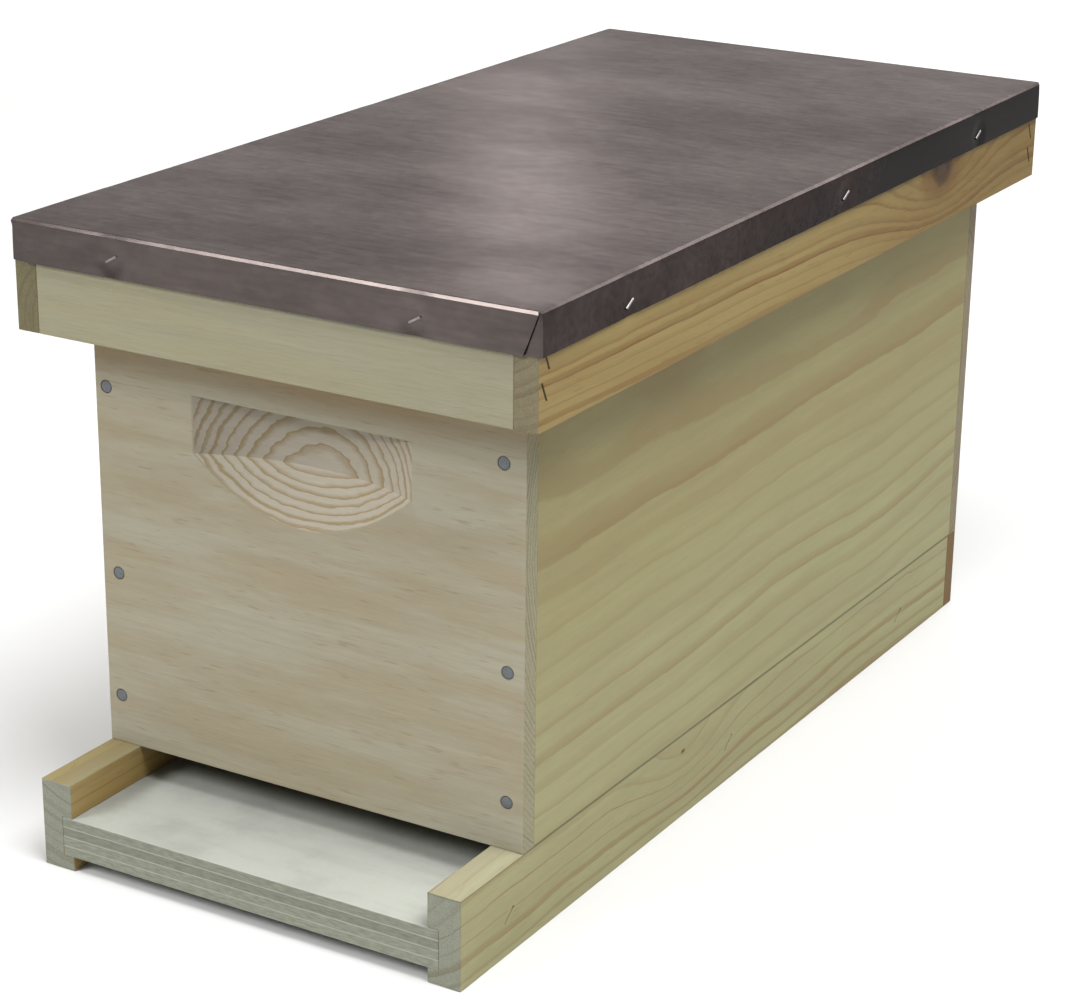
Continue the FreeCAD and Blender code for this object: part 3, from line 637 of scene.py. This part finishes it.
def pull_faces(*move):
    bpy.ops.mesh.extrude_region_move(TRANSFORM_OT_translate={"value": move})


def slice_at(axis, places):
    """Cuts the whole open mesh at each place along one axis, so that it can bend there."""
    normal = Vector((0, 0, 0))
    normal[axis] = 1
    for place in places:
        bpy.ops.mesh.select_all(action="SELECT")
        bpy.ops.mesh.bisect(plane_co=normal * place, plane_no=normal)


def end_piece(name, body, material, node, wall=0.0, angle=40):
    """Closes the piece, thickens it where asked, and lets it stand for its CAD node."""
    bpy.ops.mesh.select_all(action="SELECT")
    bpy.ops.mesh.remove_doubles(threshold=0.005 * MM)
    bpy.ops.mesh.normals_make_consistent(inside=False)
    bpy.ops.object.mode_set(mode="OBJECT")
    piece = bpy.context.object
    piece.name = piece.data.name = name
    if wall:
        solid = piece.modifiers.new("sheet thickness", "SOLIDIFY")
        solid.thickness = wall
        solid.offset = 0.0
        bpy.ops.object.modifier_apply(modifier=solid.name)
    bpy.ops.object.shade_smooth_by_angle(angle=math.radians(angle))
    piece.data.materials.clear()
    piece.data.materials.append(material)
    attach(piece, body)
    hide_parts(node)
    return piece


def join_copies(turns):
    """Copies the open piece once for each turn, each with its own mesh, joins them and opens them."""
    bpy.ops.object.mode_set(mode="OBJECT")
    first = bpy.context.object
    copies = []
    for turn in turns:
        copy = first.copy()
        copy.data = first.data.copy()
        bpy.context.scene.collection.objects.link(copy)
        copy.data.transform(turn)
        copies.append(copy)
    bpy.data.objects.remove(first)
    bpy.ops.object.select_all(action="DESELECT")
    for copy in copies:
        copy.select_set(True)
    bpy.context.view_layer.objects.active = copies[0]
    bpy.ops.object.join()
    bpy.ops.object.mode_set(mode="EDIT")


# ---- sheet-metal cover ------------------------------------------------------------------------
def skirt_staple_places():
    """Middle of each crown on the skirt, and the way the skirt faces."""
    places = []
    for side in (-1, 1):
        for from_body, lift in SIDE_STAPLES:
            middle = Vector((side * COVER_HIGH.x, FACE_LOW.y + from_body * MM, (STAPLE_HEIGHT + lift) * MM))
            places.append((middle, Vector((side, 0, 0))))
    for y, way in ((COVER_LOW.y, -1), (COVER_HIGH.y, 1)):
        for x, lift in END_STAPLES:
            places.append((Vector((x * MM, y, (STAPLE_HEIGHT + lift) * MM)), Vector((0, way, 0))))
    return places


def metal_cover(material):
    """A tray folded from one sheet: side skirts wrap round the corners, end flaps lie over the tabs."""
    wall = SHEET * MM
    side = COVER_HIGH.x - wall / 2
    front, rear = COVER_LOW.y + wall / 2, COVER_HIGH.y - wall / 2
    top, bottom = COVER_HIGH.z - wall / 2, COVER_LOW.z
    lap, tab, slant, fold = 0.85 * MM, 14 * MM, 7.5 * MM, 0.95 * MM
    hair = 0.05 * MM
    begin(bpy.ops.mesh.primitive_plane_add, size=1, location=(0, (front + rear) / 2, top),
          scale=(2 * side, rear - front, 1))
    pick("EDGE", lambda p: abs(p.x) > side - hair)
    pull_edges(0, 0, bottom - top)
    for way in (-1, 1):
        pick("EDGE", lambda p: way * p.x > side - hair and abs(p.z - (top + bottom) / 2) < hair)
        pull_edges(-way * tab, 0, 0)
    for way, edge in ((-1, front), (1, rear)):
        pick("EDGE", lambda p: abs(p.x) < hair and abs(p.y - edge) < hair and p.z > top - hair)
        pull_edges(0, way * lap, 0)
        pull_edges(0, 0, bottom - top)
        bpy.ops.transform.resize(value=((side - slant) / side, 1, 1))
    pick("EDGE", lambda p: abs(p.x) > side - hair and abs(p.z - bottom) > hair
         and (abs(p.z - top) < hair or p.y < front + hair or p.y > rear - hair)
         and front - hair < p.y < rear + hair)
    bpy.ops.mesh.bevel(offset=fold, segments=1, affect="EDGES")
    pick("EDGE", lambda p: abs(p.x) < hair and abs(p.z - top) < hair
         and (p.y < front - hair or p.y > rear + hair))
    bpy.ops.mesh.bevel(offset=0.95 * lap, segments=1, affect="EDGES")
    pick("VERT", lambda p: not front - hair < p.y < rear + hair and top - lap - hair < p.z < top - lap / 2)
    push((0, 0, -0.4 * lap))

    # cuts for the sheet to bend at: close together near the staples, and just inside each fold
    near = (-11, -8, -6, -4.2, -2.6, -1, 1, 2.6, 4.2, 6, 8, 11)
    flat = (fold + 0.6 * MM, fold + 2.6 * MM)
    staples = skirt_staple_places()
    slice_at(1, sorted({FACE_LOW.y + (y + step) * MM for y, _ in SIDE_STAPLES for step in near}
                       | {front + (rear - front) * share / 14 for share in range(1, 14)}
                       | {front + step for step in flat} | {rear - step for step in flat}))
    slice_at(0, sorted({(x + step) * MM for x, _ in END_STAPLES for step in near}
                       | {side * share / 5 for share in range(-4, 5)}
                       | {way * (side - step) for step in flat for way in (-1, 1)}))
    slice_at(2, [(STAPLE_HEIGHT + step) * MM for step in (-5.5, -3.8, -2.2, -0.7, 0.8, 2.3, 3.9, 5.8, 8.0)]
             + [top - step for step in flat])

    # the skirts stand a little off the rails, and the staples pull them back
    belly = 0.8 * MM
    for way in (-1, 1):
        pick("VERT", lambda p: way * p.x > side - hair and p.z < bottom + hair)
        push((way * belly, 0, 0), top - bottom, "SPHERE")
    end_lean = {-1: 0.4 * MM, 1: 0.0}
    for way, lean in end_lean.items():
        fold_y = front if way < 0 else rear
        pick("VERT", lambda p: way * (p.y - fold_y) > lap / 2 and p.z < bottom + hair)
        push((0, way * lean, 0), top - bottom, "SPHERE")
    crown_reach, crown_drag = 3.2 * MM, 8.0 * MM
    for middle, out in staples:
        proud = 0.85 * belly if out.x else 0.75 * (lap + end_lean[int(out.y)])
        pick("VERT", lambda p: (p - middle).length < crown_reach)
        push(-proud * out, crown_drag, "SMOOTH")

    # shallow hollows on top, then small dents along the side skirts
    hollows, hollow_reach, hollow_drag = 14, 24 * MM, 75 * MM
    dents, dent_reach, dent_drag = 16, 11 * MM, 20 * MM
    rng = random.Random(11)
    for _ in range(hollows):
        x, y = rng.uniform(-side, side), rng.uniform(front, rear)
        pick("VERT", lambda p: p.z > top - hair and (p - Vector((x, y, top))).length < hollow_reach)
        push((0, 0, rng.uniform(-0.28, 0.0) * MM), hollow_drag)
    for _ in range(dents):
        way, y = rng.choice((-1, 1)), rng.uniform(front, rear)
        height = rng.uniform(bottom, top - 5 * MM)
        pick("VERT", lambda p: (p - Vector((way * side, y, height))).length < dent_reach)
        push((rng.uniform(-0.25, 0.2) * way * MM, 0, 0), dent_drag)
    return end_piece("galvanised_cover", "lid", material, "metal_cover",
                     wall=wall, angle=30)


def staple_copies(places):
    """One bent wire, then a turned copy of its mesh at each place, joined."""
    crown, wire, shoulder, leg = 9.0 * MM, 0.65 * MM, 1.1 * MM, 9.0 * MM
    length = crown - 2 * shoulder
    begin(bpy.ops.mesh.primitive_cylinder_add, vertices=12, radius=wire, depth=length, location=(0, 0, wire),
          rotation=(0, math.radians(90), 0))
    for way in (-1, 1):
        pick("FACE", lambda p: way * p.x > 0.49 * length)
        bpy.ops.mesh.spin(steps=5, angle=math.radians(way * 90),
                          center=(way * length / 2, 0, wire - shoulder), axis=(0, 1, 0))
        pull_faces(0, 0, -leg)
        bpy.ops.transform.resize(value=(0.4, 0.4, 1))
    sink = 0.45 * MM
    turns = []
    for middle, out in places:
        level = Vector((abs(out.y), abs(out.x), 0))
        along = level * math.sqrt(1 - STAPLE_RISE ** 2) + Vector((0, 0, STAPLE_RISE))
        turn = Matrix((along, out.cross(along), out)).transposed().to_4x4()
        turns.append(Matrix.Translation(middle - out * sink) @ turn)
    join_copies(turns)


def skirt_staples(material):
    staple_copies(skirt_staple_places())
    return end_piece("skirt_staples", "lid", material, "metal_cover_staples")


# ---- box nails --------------------------------------------------------------------------------
def box_nails(name, spots, face_y, outward, material, node):
    """Flush nails with a slightly domed, rimmed head; one is modelled and the others are copies."""
    head, thick, shank, length = 2.9 * MM, 1.2 * MM, 1.45 * MM, 46 * MM
    begin(bpy.ops.mesh.primitive_cylinder_add, vertices=28, radius=head, depth=thick,
          location=(0, 0, -thick / 2))
    pick("FACE", lambda p: p.z > -thick / 10 and p.xy.length < head / 2)
    bpy.ops.mesh.inset(thickness=0.45 * MM, depth=0.05 * MM)
    bpy.ops.mesh.inset(thickness=1.0 * MM, depth=0.12 * MM)
    bpy.ops.mesh.inset(thickness=1.0 * MM, depth=0.06 * MM)
    pick("FACE", lambda p: p.z < -0.9 * thick and p.xy.length < head / 2)
    bpy.ops.mesh.inset(thickness=head - shank, depth=0)
    pull_faces(0, 0, -length)
    pull_faces(0, 0, -4 * MM)
    bpy.ops.transform.resize(value=(0.15, 0.15, 1))
    flush = Vector((0, outward * 0.12 * MM, 0))
    rng = random.Random(5)
    turns = []
    for place in face_marks(spots, face_y):
        tip = Matrix.Rotation(math.radians(-90 * outward + rng.uniform(-2, 2)), 4, "X")
        spin = Matrix.Rotation(rng.uniform(0, math.tau), 4, "Z")
        turns.append(Matrix.Translation(Vector(place) - flush) @ tip @ spin)
    join_copies(turns)
    return end_piece(name, "hive_body", material, node, angle=30)


# ---- stage ------------------------------------------------------------------------------------
def camera():
    """Stands to the right of the entrance, a little above the lid."""
    turn, rise, roll = math.radians(30.01), math.radians(20.92), math.radians(0.91)
    distance = 1.25795
    target = Vector((0.14187, FACE_LOW.y, 0.20514))
    back = Vector((math.sin(turn) * math.cos(rise), -math.cos(turn) * math.cos(rise), math.sin(rise)))
    right = (-back).cross(Vector((0, 0, 1))).normalized()
    up = back.cross(right)
    across = right * math.cos(roll) + up * math.sin(roll)
    upward = up * math.cos(roll) - right * math.sin(roll)
    data = bpy.data.cameras.new("camera")
    data.lens = 96.37
    data.sensor_width = 36.0
    data.shift_x, data.shift_y = -0.0308, 0.0364
    data.clip_end = 50.0
    seen = bpy.data.objects.new("camera", data)
    turned = Matrix((across, upward, back)).transposed().to_4x4()
    seen.matrix_world = Matrix.Translation(target + back * distance) @ turned
    bpy.context.scene.collection.objects.link(seen)
    bpy.context.scene.camera = seen


def softbox(name, spot, aim, size, power, mirrored=True):
    data = bpy.data.lights.new(name, "AREA")
    data.shape = "RECTANGLE"
    data.size, data.size_y = size
    data.energy = power
    light = bpy.data.objects.new(name, data)
    light.location = spot
    light.rotation_euler = (Vector(aim) - Vector(spot)).to_track_quat("-Z", "Y").to_euler()
    light.visible_camera = False
    light.visible_glossy = mirrored
    bpy.context.scene.collection.objects.link(light)


def studio():
    bpy.ops.object.select_all(action="DESELECT")
    bpy.ops.mesh.primitive_plane_add(size=16.0, location=(0, 0, 0))
    floor = bpy.context.object
    floor.name = "studio_floor"
    material, _, shader, _ = new_material("pale floor")
    shader["Base Color"].default_value = (0.62, 0.62, 0.62, 1.0)
    shader["Roughness"].default_value = 0.9
    shader["Specular IOR Level"].default_value = 0.1
    floor.data.materials.append(material)
    world = bpy.data.worlds.new("soft studio")
    world.use_nodes = True
    background = world.node_tree.nodes["Background"].inputs
    background["Color"].default_value = (1.0, 0.99, 0.97, 1.0)
    background["Strength"].default_value = 0.20
    bpy.context.scene.world = world
    softbox("overhead", (0.95, -0.35, 2.4), (0, 0, 0.1), (1.5, 1.5), 98)
    softbox("key", (-1.6, -2.6, 2.5), (0, 0, 0.15), (1.4, 1.4), 114)
    softbox("right rear", (1.1, 2.4, 1.7), (0.1, 0, 0.3), (1.2, 0.8), 10)
    softbox("rear wall", (-1.5, 2.6, 0.9), (0, 0, 0.3), (4.0, 1.4), 6.5)
    softbox("rear glow", (-0.95, 1.54, 0.85), (0.05, -0.12, 0.32), (0.13, 0.10), 0.13)
    softbox("backdrop", (-1.5, 3.6, 2.4), (-1.6, 4.2, 0.0), (4.0, 1.5), 230, mirrored=False)
    bpy.context.scene.view_settings.view_transform = "Standard"


dress_bottom_board()
dress_body()
dress_lid()
dress_inner_cover()
dress_frames()
wire = wire_metal("staple wire", WIRE, 0.38, 0.9)
nail_steel = wire_metal("nail steel", NAIL_GREY, 0.42, 0.6)
wax = comb_wax()
for node in NODES:
    for ending, material in (("_nails", nail_steel), ("_staples", wire), ("_foundation", wax)):
        if node.endswith(ending):
            dress(node, material)
zinc = sheet_metal()
dress("metal_cover", zinc)
metal_cover(zinc)
skirt_staples(wire)
box_nails("front_nails", FRONT_NAILS, FACE_LOW.y, -1, nail_steel, "body_front_nails")
box_nails("rear_nails", REAR_NAILS, REAR_HIGH.y, 1, nail_steel, "body_rear_nails")
camera()
studio()
